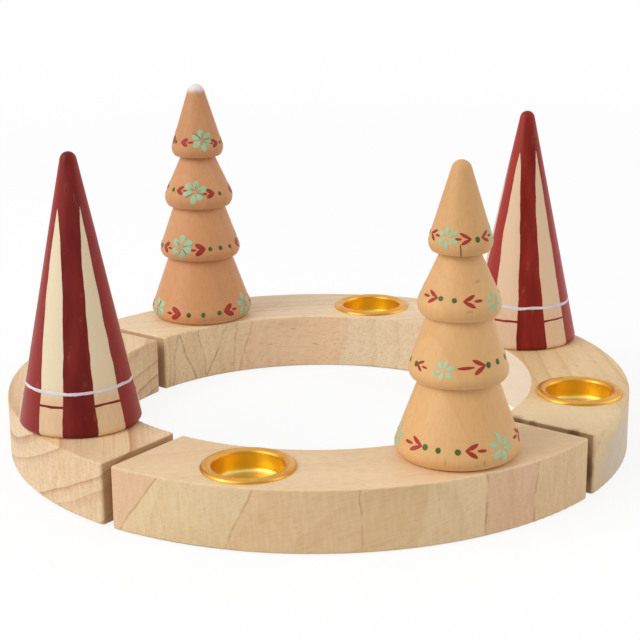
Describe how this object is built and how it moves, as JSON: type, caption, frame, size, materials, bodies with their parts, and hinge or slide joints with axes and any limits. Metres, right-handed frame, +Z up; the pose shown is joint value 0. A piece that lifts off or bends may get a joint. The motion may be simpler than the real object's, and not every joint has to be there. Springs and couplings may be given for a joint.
{
  "type": "advent candle holder",
  "caption": "Advent candle holder made of loose quarter-ring wooden sections, each with a gold candle cup and a turned, painted wooden tree.",
  "frame": {"origin": "middle of the ring on the table", "axes": "+Z up, front section towards -Y"},
  "size_m": [0.212, 0.212, 0.1098],
  "materials": {
    "pine": "bare sanded pine, matt",
    "turned_wood": "bare turned wood, matt, with hand-painted bands",
    "painted_wood": "hand-painted red and cream stripes, satin",
    "gold_metal": "drawn sheet metal, satin gold",
    "zinc_steel": "zinc-plated steel"
  },
  "bodies": {
    "front_section": {"front_base": "pine", "front_tiered_tree": "turned_wood", "front_tree_screw": "zinc_steel"},
    "front_cup": {"front_candle_cup": "gold_metal"},
    "right_section": {"right_base": "pine", "right_striped_cone": "painted_wood", "right_tree_screw": "zinc_steel"},
    "right_cup": {"right_candle_cup": "gold_metal"},
    "back_section": {"back_base": "pine", "back_tiered_tree": "turned_wood", "back_tree_screw": "zinc_steel"},
    "back_cup": {"back_candle_cup": "gold_metal"},
    "left_section": {"left_base": "pine", "left_striped_cone": "painted_wood", "left_tree_screw": "zinc_steel"},
    "left_cup": {"left_candle_cup": "gold_metal"}
  },
  "joints": [
    {"name": "front_cup_lift", "type": "slide", "parent": "front_section", "child": "front_cup", "axis": [0, 0, 1], "range_m": [0, 0.03]},
    {"name": "right_section_slide", "type": "slide", "parent": "front_section", "child": "right_section", "axis": [1, 0, 0], "range_m": [-0.002, 0.06]},
    {"name": "right_cup_lift", "type": "slide", "parent": "right_section", "child": "right_cup", "axis": [0, 0, 1], "range_m": [0, 0.03]},
    {"name": "back_section_slide", "type": "slide", "parent": "front_section", "child": "back_section", "axis": [0, 1, 0], "range_m": [-0.002, 0.06]},
    {"name": "back_cup_lift", "type": "slide", "parent": "back_section", "child": "back_cup", "axis": [0, 0, 1], "range_m": [0, 0.03]},
    {"name": "left_section_slide", "type": "slide", "parent": "front_section", "child": "left_section", "axis": [-1, 0, 0], "range_m": [-0.002, 0.06]},
    {"name": "left_cup_lift", "type": "slide", "parent": "left_section", "child": "left_cup", "axis": [0, 0, 1], "range_m": [0, 0.03]}
  ]
}
